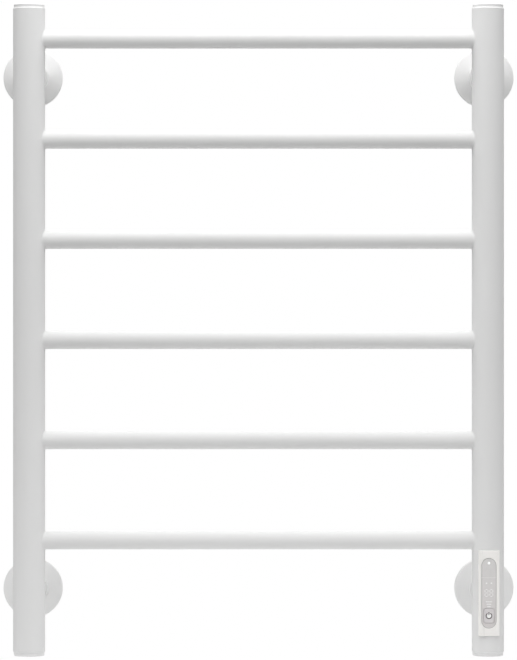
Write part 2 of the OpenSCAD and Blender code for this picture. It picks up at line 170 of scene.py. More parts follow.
def loop_edges(loop):
    """The edges of a ring of vertices that isn't joined to anything else yet."""
    return list({edge for vert in loop for edge in vert.link_edges})


def flat_loop(bm, radius, height, steps):
    """A ring of edges round Z."""
    place = Matrix.Translation((0, 0, height))
    return bmesh.ops.create_circle(bm, cap_ends=False, radius=radius, segments=steps, matrix=place)["verts"]


def saddle_loop(bm, radius, reach, post_radius, steps):
    """A ring round Z that lies on a post whose axis is Y, moved out along Z by reach."""
    loop = flat_loop(bm, radius, 0, steps)
    for vert in loop:
        vert.co.z = math.sqrt(post_radius ** 2 - vert.co.x ** 2) + reach
    return loop


def bridge(bm, loops, closed=False):
    """Joins each ring of vertices to the next one, and the last to the first if closed."""
    rings = [loop_edges(loop) for loop in loops]
    followers = rings[1:] + rings[:1] if closed else rings[1:]
    for ring, follower in zip(rings, followers):
        bmesh.ops.bridge_loops(bm, edges=ring + follower)


def fillet(radius, size, steps=6):
    """(ring radius, reach) along a concave quarter round, from the post's surface up the tube."""
    stations = []
    for step in range(steps + 1):
        angle = math.pi / 2 * step / steps
        stations.append((radius + size * (1 - math.sin(angle)), size * (1 - math.cos(angle))))
    return stations


def arc(centre, radius, start, end, steps):
    """Points along an arc in the profile plane, with angles in degrees from the X direction."""
    points = []
    for step in range(steps + 1):
        angle = math.radians(start + (end - start) * step / steps)
        points.append((centre[0] + radius * math.cos(angle), centre[1] + radius * math.sin(angle)))
    return points


def profile(bm, points, closed):
    """A chain of edges through (radius, height) points."""
    verts = [bm.verts.new((radius, 0, height)) for radius, height in points]
    pairs = zip(verts, verts[1:] + verts[:1] if closed else verts[1:])
    for first, second in pairs:
        bm.edges.new((first, second))
    return verts


def round_points(bm, verts, size, steps=3):
    """Rounds the corners of a profile or the corners of a flat face."""
    bmesh.ops.bevel(
        bm, geom=verts, offset=size, offset_type="OFFSET", segments=steps, profile=0.5,
        affect="VERTICES", clamp_overlap=True, material=-1)


def round_edges(bm, edges, size, steps=3):
    """Rounds edges of a solid."""
    bmesh.ops.bevel(
        bm, geom=edges, offset=size, offset_type="OFFSET", segments=steps, profile=0.5,
        affect="EDGES", clamp_overlap=True, material=-1)


def turn_round(bm, steps):
    """Spins every edge of a profile once round Z and closes the poles."""
    bmesh.ops.spin(
        bm, geom=bm.verts[:] + bm.edges[:], cent=(0, 0, 0), axis=(0, 0, 1), dvec=(0, 0, 0),
        angle=math.tau, steps=steps, use_merge=True, use_duplicate=False)


def rounded_plate(bm, width, height, corner, back, front, steps=8):
    """A plate with round corners, made solid from back to front along Y; returns its vertices."""
    verts = bmesh.ops.create_grid(bm, x_segments=1, y_segments=1, size=0.5)["verts"]
    place = Matrix.Translation((0, back, 0)) @ Matrix.Rotation(math.pi / 2, 4, "X")
    bmesh.ops.transform(bm, verts=verts, matrix=place @ Matrix.Diagonal((width, height, 1, 1)))
    outline = bmesh.ops.bevel(
        bm, geom=verts, offset=corner, offset_type="OFFSET", segments=steps, profile=0.5,
        affect="VERTICES", clamp_overlap=False, material=-1)["verts"]
    bmesh.ops.remove_doubles(bm, verts=outline, dist=MERGE)
    outline = [vert for vert in outline if vert.is_valid]
    extruded = bmesh.ops.extrude_face_region(bm, geom=[outline[0].link_faces[0]])["geom"]
    moved = [item for item in extruded if isinstance(item, bmesh.types.BMVert)]
    bmesh.ops.translate(bm, verts=moved, vec=(0, front - back, 0))
    return outline + moved


def edges_at(bm, y):
    """Sharp edges that lie in the plane at y."""
    return [
        edge for edge in bm.edges
        if all(abs(vert.co.y - y) < CLOSE for vert in edge.verts)
        and len(edge.link_faces) == 2 and edge.calc_face_angle(0) > SMOOTH_ANGLE
    ]


def piece(name, bm, place, body, material, stands_for=()):
    """Makes a finished piece of a bmesh, puts it in place and says what it rides on and replaces."""
    bmesh.ops.remove_doubles(bm, verts=bm.verts, dist=MERGE)
    bmesh.ops.transform(bm, verts=bm.verts, matrix=place)
    bmesh.ops.recalc_face_normals(bm, faces=bm.faces)
    mesh = bpy.data.meshes.new(name)
    bm.to_mesh(mesh)
    bm.free()
    mesh.shade_smooth()
    mesh.set_sharp_from_angle(angle=SMOOTH_ANGLE)
    mesh.materials.append(material)
    made = bpy.data.objects.new(name, mesh)
    bpy.context.scene.collection.objects.link(made)
    weighting = made.modifiers.new("Weighted normals", "WEIGHTED_NORMAL")
    weighting.keep_sharp = True
    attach(made, body)
    if stands_for:
        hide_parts(*stands_for)
    return made


# ---------------------------------------------------------------------------------------------
# Places, all read from the frame
# ---------------------------------------------------------------------------------------------

def centre_of(node):
    """The centre of a node's box."""
    low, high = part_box(node)
    return (low + high) / 2


def half_size(node):
    """Half the size of a node's box."""
    low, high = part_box(node)
    return (high - low) / 2


def post_radius():
    """The outer radius of the posts."""
    return half_size("left_post").x


def facing_front(centre):
    """Turns a shape round Z into one round a line along Y, with Z towards the front."""
    return Matrix.Translation(centre) @ Matrix.Rotation(math.pi / 2, 4, "X")


# ---------------------------------------------------------------------------------------------
# Materials
# ---------------------------------------------------------------------------------------------

class Finish:
    """A node material on Object coordinates, with short calls for its nodes."""

    def __init__(self, name, roughness=0.5, metallic=0.0, specular=0.5):
        self.material = bpy.data.materials.new(name)
        self.material.use_nodes = True
        self.nodes = self.material.node_tree.nodes
        self.links = self.material.node_tree.links
        self.shader = self.nodes["Principled BSDF"]
        self.shader.inputs["Roughness"].default_value = roughness
        self.shader.inputs["Metallic"].default_value = metallic
        self.shader.inputs["Specular IOR Level"].default_value = specular
        self.place = self.nodes.new("ShaderNodeTexCoord").outputs["Object"]

    def stretched(self, scale):
        """Object coordinates with their own scale along each axis."""
        mapping = self.nodes.new("ShaderNodeMapping")
        mapping.inputs["Scale"].default_value = scale
        self.links.new(self.place, mapping.inputs["Vector"])
        return mapping.outputs["Vector"]

    def noise(self, scale, detail=2.0, place=None):
        """Soft random values from 0 to 1; scale is in repeats a metre."""
        node = self.nodes.new("ShaderNodeTexNoise")
        node.inputs["Scale"].default_value = scale
        node.inputs["Detail"].default_value = detail
        self.links.new(place or self.place, node.inputs["Vector"])
        return node.outputs["Fac"]

    def cells(self, scale):
        """Random values, one for each irregular cell."""
        node = self.nodes.new("ShaderNodeTexVoronoi")
        node.inputs["Scale"].default_value = scale
        self.links.new(self.place, node.inputs["Vector"])
        split = self.nodes.new("ShaderNodeSeparateColor")
        self.links.new(node.outputs["Color"], split.inputs["Color"])
        return split.outputs["Red"]

    def along(self, axis):
        """One coordinate of the surface, in metres."""
        split = self.nodes.new("ShaderNodeSeparateXYZ")
        self.links.new(self.place, split.inputs["Vector"])
        return split.outputs[axis]

    def maths(self, operation, first, second=0.0):
        """The result of an operation on one or two values, each a socket or a number."""
        node = self.nodes.new("ShaderNodeMath")
        node.operation = operation
        for socket, value in zip(node.inputs, (first, second)):
            if isinstance(value, (int, float)):
                socket.default_value = value
            else:
                self.links.new(value, socket)
        return node.outputs["Value"]

    def spread(self, value, low, high, start=0.3, end=0.7):
        """A value from start to end turned into one from low to high, held at both ends."""
        node = self.nodes.new("ShaderNodeMapRange")
        for name, number in (("From Min", start), ("From Max", end), ("To Min", low), ("To Max", high)):
            node.inputs[name].default_value = number
        self.links.new(value, node.inputs["Value"])
        return node.outputs["Result"]

    def blend(self, factor, first, second):
        """A colour between two colours, each a socket or three numbers."""
        node = self.nodes.new("ShaderNodeMix")
        node.data_type = "RGBA"
        self.links.new(factor, node.inputs["Factor"])
        for name, colour in (("A", first), ("B", second)):
            socket = next(s for s in node.inputs if s.name == name and s.type == "RGBA")
            if isinstance(colour, bpy.types.NodeSocket):
                self.links.new(colour, socket)
            else:
                socket.default_value = (*colour, 1)
        return next(s for s in node.outputs if s.type == "RGBA")

    def colour(self, socket):
        """Sets the surface colour."""
        self.links.new(socket, self.shader.inputs["Base Color"])

    def roughness(self, socket):
        """Sets the roughness."""
        self.links.new(socket, self.shader.inputs["Roughness"])

    def relief(self, height, depth, strength, under=None):
        """Adds a bump of a real depth in metres, over another one if given."""
        node = self.nodes.new("ShaderNodeBump")
        node.inputs["Distance"].default_value = depth
        node.inputs["Strength"].default_value = strength
        self.links.new(height, node.inputs["Height"])
        if under is not None:
            self.links.new(under, node.inputs["Normal"])
        self.links.new(node.outputs["Normal"], self.shader.inputs["Normal"])
        return node.outputs["Normal"]


def shade(colour, factor):
    """A colour made darker or lighter."""
    return tuple(min(1.0, channel * factor) for channel in colour)


def powder_coat(name, colour):
    """Satin powder coat: slow drifts of tone, a fine grain and the low waves of a sprayed film."""
    finish = Finish(name, specular=0.35)
    drift = finish.noise(7, detail=3)
    grain = finish.noise(2600, detail=2)
    tone = finish.blend(finish.spread(drift, 0, 1), shade(colour, 0.985), shade(colour, 1.012))
    finish.colour(finish.blend(finish.spread(grain, 0, 0.05), tone, shade(colour, 0.8)))
    finish.roughness(finish.spread(finish.noise(90, detail=3), 0.44, 0.54))
    waves = finish.relief(finish.noise(420, detail=1), 0.03 * MM, 0.35)
    finish.relief(grain, 0.012 * MM, 0.3, under=waves)
    return finish.material


def moulded(name, colour, roughness, depth=0.01 * MM, coat=0.0):
    """Moulded plastic: a fine spark-eroded grain of a given depth, slight flow marks and tone drift."""
    finish = Finish(name, specular=0.45)
    flow = finish.noise(1, detail=3, place=finish.stretched((120, 120, 18)))
    fine = finish.noise(1800, detail=3)
    tone = finish.blend(finish.spread(flow, 0, 1), shade(colour, 0.97), shade(colour, 1.02))
    finish.colour(finish.blend(finish.spread(fine, 0, 0.08), tone, shade(colour, 0.7)))
    finish.roughness(finish.spread(flow, roughness - 0.05, roughness + 0.05))
    finish.relief(fine, depth, 0.4)
    finish.shader.inputs["Coat Weight"].default_value = coat
    return finish.material


def zinc_plate():
    """Zinc plated steel: faint crystals, drawn lines and cloudy stains."""
    finish = Finish("zinc_plate", metallic=1.0)
    crystals = finish.cells(420)
    lines = finish.noise(1, detail=4, place=finish.stretched((2600, 2600, 160)))
    bright = finish.blend(finish.spread(crystals, 0, 1, 0, 1), (0.60, 0.61, 0.63), (0.72, 0.73, 0.75))
    clouds = finish.noise(55, detail=4)
    finish.colour(finish.blend(finish.spread(clouds, 0, 0.35, 0.5, 0.8), bright, (0.55, 0.54, 0.50)))
    finish.roughness(finish.spread(lines, 0.28, 0.46))
    finish.relief(lines, 0.006 * MM, 0.4)
    return finish.material


def brass_metal():
    """Stamped brass with dull patches and fine scratches."""
    finish = Finish("brass", metallic=1.0)
    patches = finish.noise(260, detail=4)
    scratches = finish.noise(1, detail=3, place=finish.stretched((400, 5200, 5200)))
    finish.colour(finish.blend(finish.spread(patches, 0, 1), (0.80, 0.58, 0.30), (0.62, 0.43, 0.21)))
    finish.roughness(finish.spread(scratches, 0.24, 0.42))
    finish.relief(scratches, 0.004 * MM, 0.4)
    return finish.material


def rubber(name, colour, roughness=0.72):
    """Moulded rubber or silicone: matt, with pale dusty patches here and there, and faintly pebbled."""
    finish = Finish(name, specular=0.3)
    dust = finish.noise(320, detail=4)
    pebbles = finish.noise(3600, detail=2)
    finish.colour(finish.blend(finish.spread(dust, 0, 0.5, 0.45, 0.8), colour, shade(colour, 1.5)))
    finish.roughness(finish.spread(pebbles, roughness - 0.08, roughness + 0.08))
    finish.relief(pebbles, 0.012 * MM, 0.5)
    return finish.material


def board_laminate():
    """Green solder mask over faint tracks."""
    finish = Finish("board_laminate")
    tracks = finish.nodes.new("ShaderNodeTexWave")
    tracks.wave_type = "BANDS"
    tracks.bands_direction = "X"
    tracks.inputs["Scale"].default_value = 260
    tracks.inputs["Distortion"].default_value = 6
    finish.links.new(finish.place, tracks.inputs["Vector"])
    mask = finish.spread(tracks.outputs["Fac"], 0, 1, 0.55, 0.7)
    finish.colour(finish.blend(mask, (0.035, 0.17, 0.075), (0.07, 0.29, 0.13)))
    finish.roughness(finish.spread(finish.noise(1500), 0.28, 0.42))
    finish.relief(mask, 0.03 * MM, 0.5)
    return finish.material


def recess_shadow_mask(finish, height, low, high):
    """A mask for the painted shadow of the recess: 1 at the rim of an outline with round ends and 0 a
    little inside it.
    """
    radius = (high.x - low.x) / 2
    above = finish.maths("ABSOLUTE", finish.maths("SUBTRACT", height, (low.z + high.z) / 2))
    past_end = finish.maths("MAXIMUM", finish.maths("SUBTRACT", above, (high.z - low.z) / 2 - radius))
    aside = finish.maths("SUBTRACT", finish.along("X"), (low.x + high.x) / 2)
    squares = [finish.maths("POWER", past_end, 2.0), finish.maths("MULTIPLY", aside, aside)]
    # the distance from the line that joins the centres of the two round ends
    distance = finish.maths("SQRT", finish.maths("ADD", *squares))
    return finish.spread(distance, 0, 1, radius - 0.8 * MM, radius - 0.2 * MM)


def tinted_lens(colour, pale_line_z):
    """Tinted gloss plastic, paler towards its top, darker at its rim with painted shadow of the recess, and
    with a fine pale line across it.
    """
    finish = Finish("lens_plastic")
    height = finish.along("Z")
    low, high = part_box("control_lens")
    pale = finish.spread(height, 0, 1, low.z, high.z)
    warm = (colour[0], colour[1] * 0.965, colour[2] * 0.975)
    tone = finish.blend(pale, warm, shade(colour, 1.02))
    smoke = finish.noise(240, detail=4)
    tone = finish.blend(finish.spread(smoke, 0, 0.25), tone, shade(colour, 0.86))
    # painted shadow of the recess: the lens darkens towards its rim
    tone = finish.blend(recess_shadow_mask(finish, height, low, high), tone, shade(colour, 0.72))
    # a fine line across the lens, drawn paler than the lens and raised a little
    distance = finish.maths("ABSOLUTE", finish.maths("SUBTRACT", height, pale_line_z))
    line = finish.spread(distance, 1, 0, 0.10 * MM, 0.22 * MM)
    finish.colour(finish.blend(line, tone, shade(colour, 1.25)))
    finish.roughness(finish.spread(finish.noise(700, detail=3), 0.10, 0.17))
    finish.relief(line, 0.04 * MM, 0.6)
    finish.shader.inputs["Coat Weight"].default_value = 0.6
    finish.shader.inputs["Coat Roughness"].default_value = 0.04
    return finish.material


def clear_plastic():
    """Milky light-guide plastic with a faint cloud in it."""
    finish = Finish("clear_plastic")
    cloud = finish.noise(2200, detail=3)
    finish.colour(finish.blend(finish.spread(cloud, 0, 1), (0.97, 0.97, 0.97), (0.90, 0.91, 0.92)))
    finish.roughness(finish.spread(cloud, 0.12, 0.24))
    finish.shader.inputs["Emission Color"].default_value = (1, 1, 1, 1)
    finish.shader.inputs["Emission Strength"].default_value = 0.35
    return finish.material


def printed(name, colour):
    """Printed ink, a little uneven, on gloss plastic."""
    finish = Finish(name, specular=0.4)
    speckle = finish.noise(5200, detail=2)
    finish.colour(finish.blend(finish.spread(speckle, 0, 1), colour, shade(colour, 1.35)))
    finish.roughness(finish.spread(speckle, 0.35, 0.5))
    finish.relief(speckle, 0.004 * MM, 0.5)
    return finish.material


# The name of the material made for each finish
FINISHED = {}


def finish_for(name):
    """The material of a finish, made once."""
    if name in FINISHED:
        return bpy.data.materials[FINISHED[name]]
    colours = bpy.context.scene.rack_colours
    makers = {
        "powder_coat": lambda: powder_coat("powder_coat", colours.coat),
        # the rosettes' lighter copy of the powder coat is painted light
        "rosette_lit_coat": lambda: powder_coat("rosette_lit_coat", colours.lit_rosette),
        "cap_plastic": lambda: moulded("cap", colours.cap, 0.42),
        "zinc_steel": zinc_plate,
        "black_rubber": lambda: rubber("ring_rubber", (0.035, 0.035, 0.036)),
        "cable_silicone": lambda: rubber("cable_sheath", (0.72, 0.67, 0.58), 0.6),
        "earth_insulation": lambda: rubber("earth_sheath", (0.34, 0.45, 0.07), 0.5),
        "brass": brass_metal,
        "dark_plastic": lambda: moulded("dark_moulding", (0.035, 0.036, 0.04), 0.45),
        "housing_plastic": lambda: moulded("housing_moulding", (0.74, 0.74, 0.72), 0.5),
        "bezel_plastic": lambda: moulded("bezel_moulding", colours.bezel, 0.3, 0.004 * MM, coat=0.25),
        "lens_plastic": lambda: tinted_lens(colours.lens, pale_line_height()),
        "clear_plastic": clear_plastic,
        "board_laminate": board_laminate,
        "relay_plastic": lambda: moulded("relay_moulding", (0.07, 0.15, 0.36), 0.4),
        "key_plastic": lambda: moulded("key_moulding", colours.key, 0.32, 0.004 * MM, coat=0.3),
        "mark_ink": lambda: printed("mark_ink", colours.mark),
        "field_ink": lambda: printed("field_ink", colours.bezel),
        "segment_ink": lambda: printed("segment_ink", shade(colours.lens, 1.08)),
    }
    made = makers[name]()
    FINISHED[name] = made.name
    return made


def pale_line_height():
    """Height of the fine line across the lens, above which only the light shows."""
    above_centre = 15.5 * MM
    return centre_of("control_bezel").z + above_centre


def finish_nodes(nodes):
    """Gives CAD nodes that stay the detailed material of their slot."""
    slots = {row["node"]: row["material_slot"] for row in frame["record"]["subparts"]}
    for node in nodes:
        for holder in frame["nodes"][node].material_slots:
            holder.material = finish_for(slots[node])


# ---------------------------------------------------------------------------------------------
# Operators, one for each piece or group of like pieces
# ---------------------------------------------------------------------------------------------

class RACK_OT_posts(bpy.types.Operator):
    """Coat the two posts"""

    bl_idname = "towel_rack.posts"
    bl_label = "Posts"

    def execute(self, context):
        finish_nodes(POSTS)
        return {"FINISHED"}


class RACK_OT_rungs(bpy.types.Operator):
    """Make the six rungs, each welded to both posts with a small fillet"""

    bl_idname = "towel_rack.rungs"
    bl_label = "Rungs"

    def execute(self, context):
        shape = context.scene.rack_shape
        steps = shape.round_steps
        post = post_radius()
        post_centre = centre_of("left_post")
        middle = -post_centre.x
        wall = 1.2 * MM
        # the axis of the tube, from the left post towards the middle, becomes +X
        turn = Matrix(((0, 0, 1, 0), (1, 0, 0, 0), (0, 1, 0, 0), (0, 0, 0, 1)))
        for node in RUNGS:
            radius = half_size(node).z
            bore = radius - wall
            bm = bmesh.new()
            loops = [flat_loop(bm, bore, middle, steps), saddle_loop(bm, bore, 0, post, steps)]
            for ring, reach in fillet(radius, shape.weld):
                loops.append(saddle_loop(bm, ring, reach, post, steps))
            loops.append(flat_loop(bm, radius, middle, steps))
            bridge(bm, loops)
            bmesh.ops.transform(bm, verts=bm.verts, matrix=turn)
            bmesh.ops.translate(bm, verts=bm.verts, vec=(post_centre.x, 0, 0))
            bmesh.ops.mirror(
                bm, geom=bm.verts[:] + bm.edges[:] + bm.faces[:], merge_dist=CLOSE, axis="X")
            place = Matrix.Translation((0, post_centre.y, centre_of(node).z))
            piece(f"welded_{node}", bm, place, "rack", finish_for("powder_coat"), [node])
        return {"FINISHED"}


class RACK_OT_end_caps(bpy.types.Operator):
    """Make the four stepped end caps with rounded edges"""

    bl_idname = "towel_rack.end_caps"
    bl_label = "End caps"

    def execute(self, context):
        shape = context.scene.rack_shape
        post = post_radius()
        plug = post - 1.6 * MM
        plug_bore = plug - 2 * MM
        # the lip follows the tube, then a slope leads to the waist and another one to the top
        lip_top = 0.4 * MM
        slope_top = 2 * MM
        waist = post - 0.8 * MM
        top = post - 1.4 * MM
        top_edge = 0.6 * MM
        for corner in CORNERS:
            node = f"end_cap_{corner}"
            low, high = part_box(node)
            upwards = 1 if "top" in corner else -1
            tube_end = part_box("left_post")[1 if upwards > 0 else 0].z
            rise = abs((high.z if upwards > 0 else low.z) - tube_end)
            plug_depth = (high.z - low.z) - rise
            outline = [
                (0, rise), (top, rise), (waist, rise - top_edge), (waist, slope_top), (post, lip_top),
                (post, 0), (plug, 0), (plug, -plug_depth),
                (plug_bore, -plug_depth), (plug_bore, slope_top), (0, slope_top),
            ]
            bm = bmesh.new()
            verts = profile(bm, outline, closed=False)
            round_points(bm, verts[1:-1], shape.cap_round)
            turn_round(bm, shape.round_steps)
            centre = centre_of(node)
            flip = Matrix.Diagonal((1, 1, upwards, 1))
            place = Matrix.Translation((centre.x, centre.y, tube_end)) @ flip
            piece(f"moulded_{node}", bm, place, "rack", finish_for("cap_plastic"), [node])
        return {"FINISHED"}


class RACK_OT_legs(bpy.types.Operator):
    """Coat the four legs, weld them to the posts and plate their set screws"""

    bl_idname = "towel_rack.legs"
    bl_label = "Legs"

    def execute(self, context):
        shape = context.scene.rack_shape
        post = post_radius()
        finish_nodes([f"leg_{corner}" for corner in CORNERS] + ["leg_set_screws"])
        # the axis of the leg, away from the post, becomes +Y
        turn = Matrix(((1, 0, 0, 0), (0, 0, 1, 0), (0, 1, 0, 0), (0, 0, 0, 1)))
        for corner in CORNERS:
            node = f"leg_{corner}"
            radius = half_size(node).x
            root = radius - 0.1 * MM
            bm = bmesh.new()
            stations = fillet(radius, shape.weld) + [(root, shape.weld), (root, 0)]
            loops = [saddle_loop(bm, ring, reach, post, shape.round_steps) for ring, reach in stations]
            bridge(bm, loops, closed=True)
            centre = centre_of(node)
            place = Matrix.Translation((centre.x, centre_of("left_post").y, centre.z)) @ turn
            piece(f"leg_weld_{corner}", bm, place, "rack", finish_for("powder_coat"))
        return {"FINISHED"}


class RACK_OT_rosettes(bpy.types.Operator):
    """Make the four domed rosettes that cover the wall bases, and finish their rubber rings"""

    bl_idname = "towel_rack.rosettes"
    bl_label = "Rosettes"

    def execute(self, context):
        shape = context.scene.rack_shape
        foot_round = 1.2 * MM
        neck_round = 0.5 * MM
        lip_round = 0.2 * MM
        for corner in CORNERS:
            node = f"rosette_{corner}"
            low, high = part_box(node)
            ring_centre = high.y - centre_of(f"rosette_ring_{corner}").y
            outside, inside = self.outlines((high.x - low.x) / 2, high.y - low.y, ring_centre)
            bm = bmesh.new()
            verts = profile(bm, outside + inside, closed=True)
            # the outside ends with the foot of the neck, the top of the neck and the top of the bore
            foot, neck_top, bore_top = verts[len(outside) - 3:len(outside)]
            round_points(bm, [verts[1]], shape.rim_round, 5)
            round_points(bm, [foot], foot_round, 5)
            round_points(bm, [neck_top, bore_top], neck_round, 4)
            round_points(bm, [verts[0], verts[-1]], lip_round, 2)
            turn_round(bm, shape.round_steps)
            centre = centre_of(node)
            place = facing_front((centre.x, high.y, centre.z))
            name = f"domed_{node}"
            # the rosettes take the lighter copy of the powder coat: painted light
            piece(name, bm, place, f"cover_{corner}", finish_for("rosette_lit_coat"), [node])
        finish_nodes([f"rosette_ring_{corner}" for corner in CORNERS])
        return {"FINISHED"}

    def outlines(self, rim, length, ring_centre):
        """The points of the outside, from the rim to the top of the bore, and of the inside back down."""
        leg = half_size("leg_top_left").x
        neck = leg + 3.1 * MM
        bore = leg + 0.3 * MM
        groove = leg + 1.9 * MM
        groove_low = ring_centre - 1 * MM
        groove_high = ring_centre + 1 * MM
        wall = 1.2 * MM
        rim_top = 5 * MM
        dome_top = 8.5 * MM
        # the dome is a part of a sphere through the top of the rim and the foot of the neck
        middle = (dome_top ** 2 - rim_top ** 2 + neck ** 2 - rim ** 2) / (2 * (dome_top - rim_top))
        dome = math.hypot(rim, rim_top - middle)
        outer_arc = self.dome_arc(middle, dome, rim, neck)
        inner_arc = self.dome_arc(middle, dome - wall, bore + wall, rim - wall)
        outside = [(rim, 0)] + outer_arc + [(neck, length), (bore, length)]
        inside = [(bore, groove_high), (groove, groove_high), (groove, groove_low), (bore, groove_low)]
        inside += [(bore, inner_arc[0][1])] + inner_arc + [(rim - wall, 0)]
        return outside, inside

    def dome_arc(self, middle, dome, first, last):
        """The arc of a dome from one distance from the axis to another."""
        start = math.degrees(math.acos(first / dome))
        end = math.degrees(math.acos(last / dome))
        return arc((0, middle), dome, start, end, 18)


class RACK_OT_wall_bases(bpy.types.Operator):
    """Plate the four wall bases and finish the supply gland"""

    bl_idname = "towel_rack.wall_bases"
    bl_label = "Wall bases"

    def execute(self, context):
        finish_nodes([f"wall_base_{corner}" for corner in CORNERS] + ["supply_gland"])
        return {"FINISHED"}


def frame_loop(bm, width, height, roundness, depth_at, steps=24):
    """A closed ring of vertices: straight sides, and ends that bulge by roundness times half the width."""
    verts = []
    for end in (1, -1):
        for step in range(steps + 1):
            angle = math.pi * (0.5 - step / steps) * end
            x = width / 2 * math.sin(-angle)
            rise = roundness * width / 2 * (math.cos(angle) - 1)
            z = end * (height / 2 + rise)
            verts.append(bm.verts.new((x, depth_at(x), z)))
    for first, second in zip(verts, verts[1:] + verts[:1]):
        bm.edges.new((first, second))
    return verts


class RACK_OT_control_bezel(bpy.types.Operator):
    """Make the bezel: a flat frame whose back follows the round of the post"""

    bl_idname = "towel_rack.control_bezel"
    bl_label = "Control bezel"

    def execute(self, context):
        shape = context.scene.rack_shape
        low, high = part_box("control_bezel")
        lens_low, lens_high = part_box("control_lens")
        width = high.x - low.x
        height = high.z - low.z
        lens_gap = 0.1 * MM
        window_w = lens_high.x - lens_low.x + 2 * lens_gap
        window_h = lens_high.z - lens_low.z + 2 * lens_gap
        axis = centre_of("right_post").y
        skirt_r = post_radius() + 0.1 * MM
        rim_r = post_radius() + 0.85 * MM
        skirt_t = 0.7 * MM
        corner_round = 0.8 * MM

        def front(x):
            return low.y

        def skirt(x):
            return axis - math.sqrt(skirt_r ** 2 - x ** 2)

        def rim(x):
            return axis - math.sqrt(rim_r ** 2 - x ** 2)

        inner_w = width - 2 * skirt_t
        inner_h = height - 2 * skirt_t
        bm = bmesh.new()
        loops = [
            frame_loop(bm, width, height, 0, front),
            frame_loop(bm, width, height, 0, skirt),
            frame_loop(bm, inner_w, inner_h, 0, skirt),
            frame_loop(bm, inner_w, inner_h, 0, rim),
            frame_loop(bm, window_w, window_h, 1, rim),
            frame_loop(bm, window_w, window_h, 1, front),
        ]
        bridge(bm, loops, closed=True)
        bmesh.ops.recalc_face_normals(bm, faces=bm.faces)
        corners = [
            edge for edge in bm.edges
            if all(
                abs(abs(v.co.x) - width / 2) < CLOSE and abs(abs(v.co.z) - height / 2) < CLOSE
                for v in edge.verts)
        ]
        round_edges(bm, corners, corner_round, 4)
        bmesh.ops.recalc_face_normals(bm, faces=bm.faces)
        round_edges(bm, edges_at(bm, low.y), shape.bezel_round)
        place = Matrix.Translation((centre_of("control_bezel").x, 0, (low.z + high.z) / 2))
        piece(
            "framed_control_bezel", bm, place, "rack", finish_for("bezel_plastic"),
            ["control_bezel"])
        return {"FINISHED"}


class RACK_OT_control_lens(bpy.types.Operator):
    """Finish the lens, the light and the display behind it, and make the display's segments"""

    bl_idname = "towel_rack.control_lens"
    bl_label = "Control lens"

    def execute(self, context):
        low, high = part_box("control_lens")
        centre = centre_of("control_bezel")
        finish_nodes(["control_lens", "light_guide", "indicator_led", "display"])
        # heights are measured from the centre of the control
        digit_w = 3 * MM
        digit_h = 6.8 * MM
        digit_centre = 0.4 * MM
        bar = 0.7 * MM
        gap = 1.4 * bar
        dot = 1.6 * MM
        dot_height = 10 * MM
        bm = bmesh.new()
        for side in (-1, 1):
            digit_x = side * 2.4 * MM
            for level in (-1, 0, 1):
                self.add_bar(bm, digit_w - gap, bar, digit_x, digit_centre + level * digit_h / 2)
            for edge in (-1, 1):
                edge_x = digit_x + edge * digit_w / 2
                for level in (-1, 1):
                    self.add_bar(bm, bar, digit_h / 2 - gap, edge_x, digit_centre + level * digit_h / 4)
            self.add_bar(bm, dot, dot, digit_x, dot_height)
        for level in range(3):
            width = (3.4 + 1.4 * level) * MM
            self.add_bar(bm, width, 0.9 * MM, 0, (-13.2 + 2.4 * level) * MM)
        bmesh.ops.translate(bm, verts=bm.verts, vec=(0, low.y, 0))
        place = Matrix.Translation((centre.x, 0, centre.z))
        piece("display_segments", bm, place, "rack", finish_for("segment_ink"))
        return {"FINISHED"}

    def add_bar(self, bm, width, height, x, z):
        """Adds one thin bar with round corners that stands on the plane y = 0."""
        verts = rounded_plate(bm, width, height, INK_ROUND, 0, -INK, 3)
        bmesh.ops.translate(bm, verts=verts, vec=(x, 0, z))


# The ring of the power mark: the radius of its middle line, and half the width of its stroke
MARK_RING = 2.75 * MM
MARK_STROKE = 0.46 * MM


